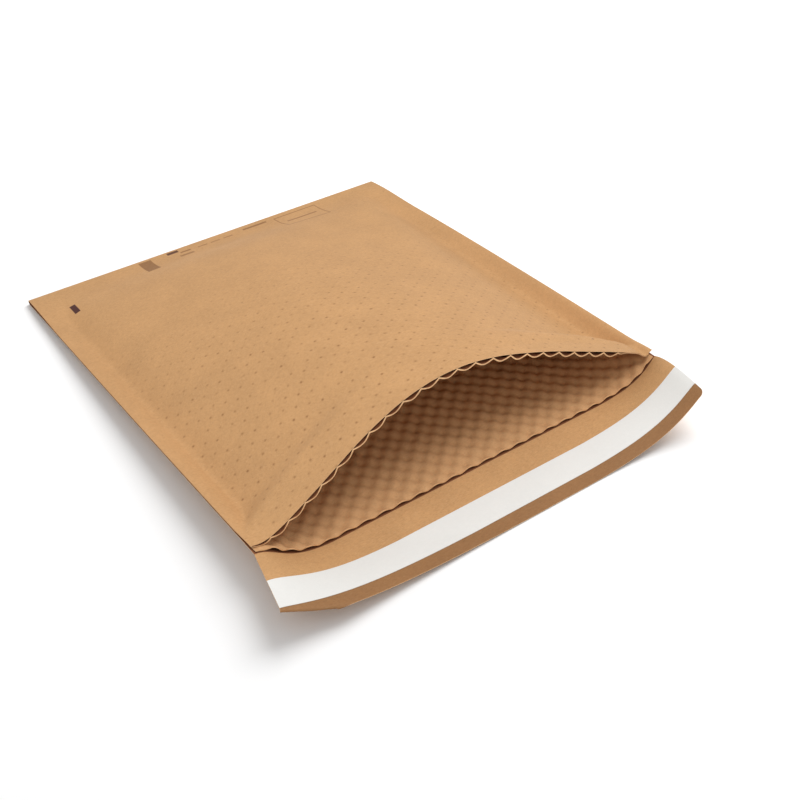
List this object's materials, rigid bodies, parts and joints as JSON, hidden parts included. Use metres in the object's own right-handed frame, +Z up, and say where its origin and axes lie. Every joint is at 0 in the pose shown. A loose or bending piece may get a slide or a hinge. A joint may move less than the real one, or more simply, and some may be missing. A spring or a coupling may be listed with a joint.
{
  "type": "padded envelope",
  "caption": "Padded paper mailer of one folded kraft web with an embossed paper lining, an arched open mouth and an open peel-and-seal flap.",
  "frame": {"origin": "middle of the bounding box, on the surface that the mailer lies on", "axes": "+X across the mouth, +Y from the mouth to the folded closed end, +Z up"},
  "size_m": [0.3132, 0.4114, 0.0701],
  "materials": {
    "kraft_paper": "matt brown kraft paper",
    "liner_paper": "soft matt kraft paper, embossed",
    "seam_adhesive": "dried water-based glue",
    "closure_adhesive": "tacky hot-melt glue",
    "release_strip": "smooth white coated release paper"
  },
  "bodies": {
    "root": {"outer_sheet": "kraft_paper", "padding_liner": "liner_paper", "seam_adhesive_left": "seam_adhesive", "seam_adhesive_right": "seam_adhesive", "closure_adhesive": "closure_adhesive", "release_strip": "release_strip"}
  },
  "joints": []
}
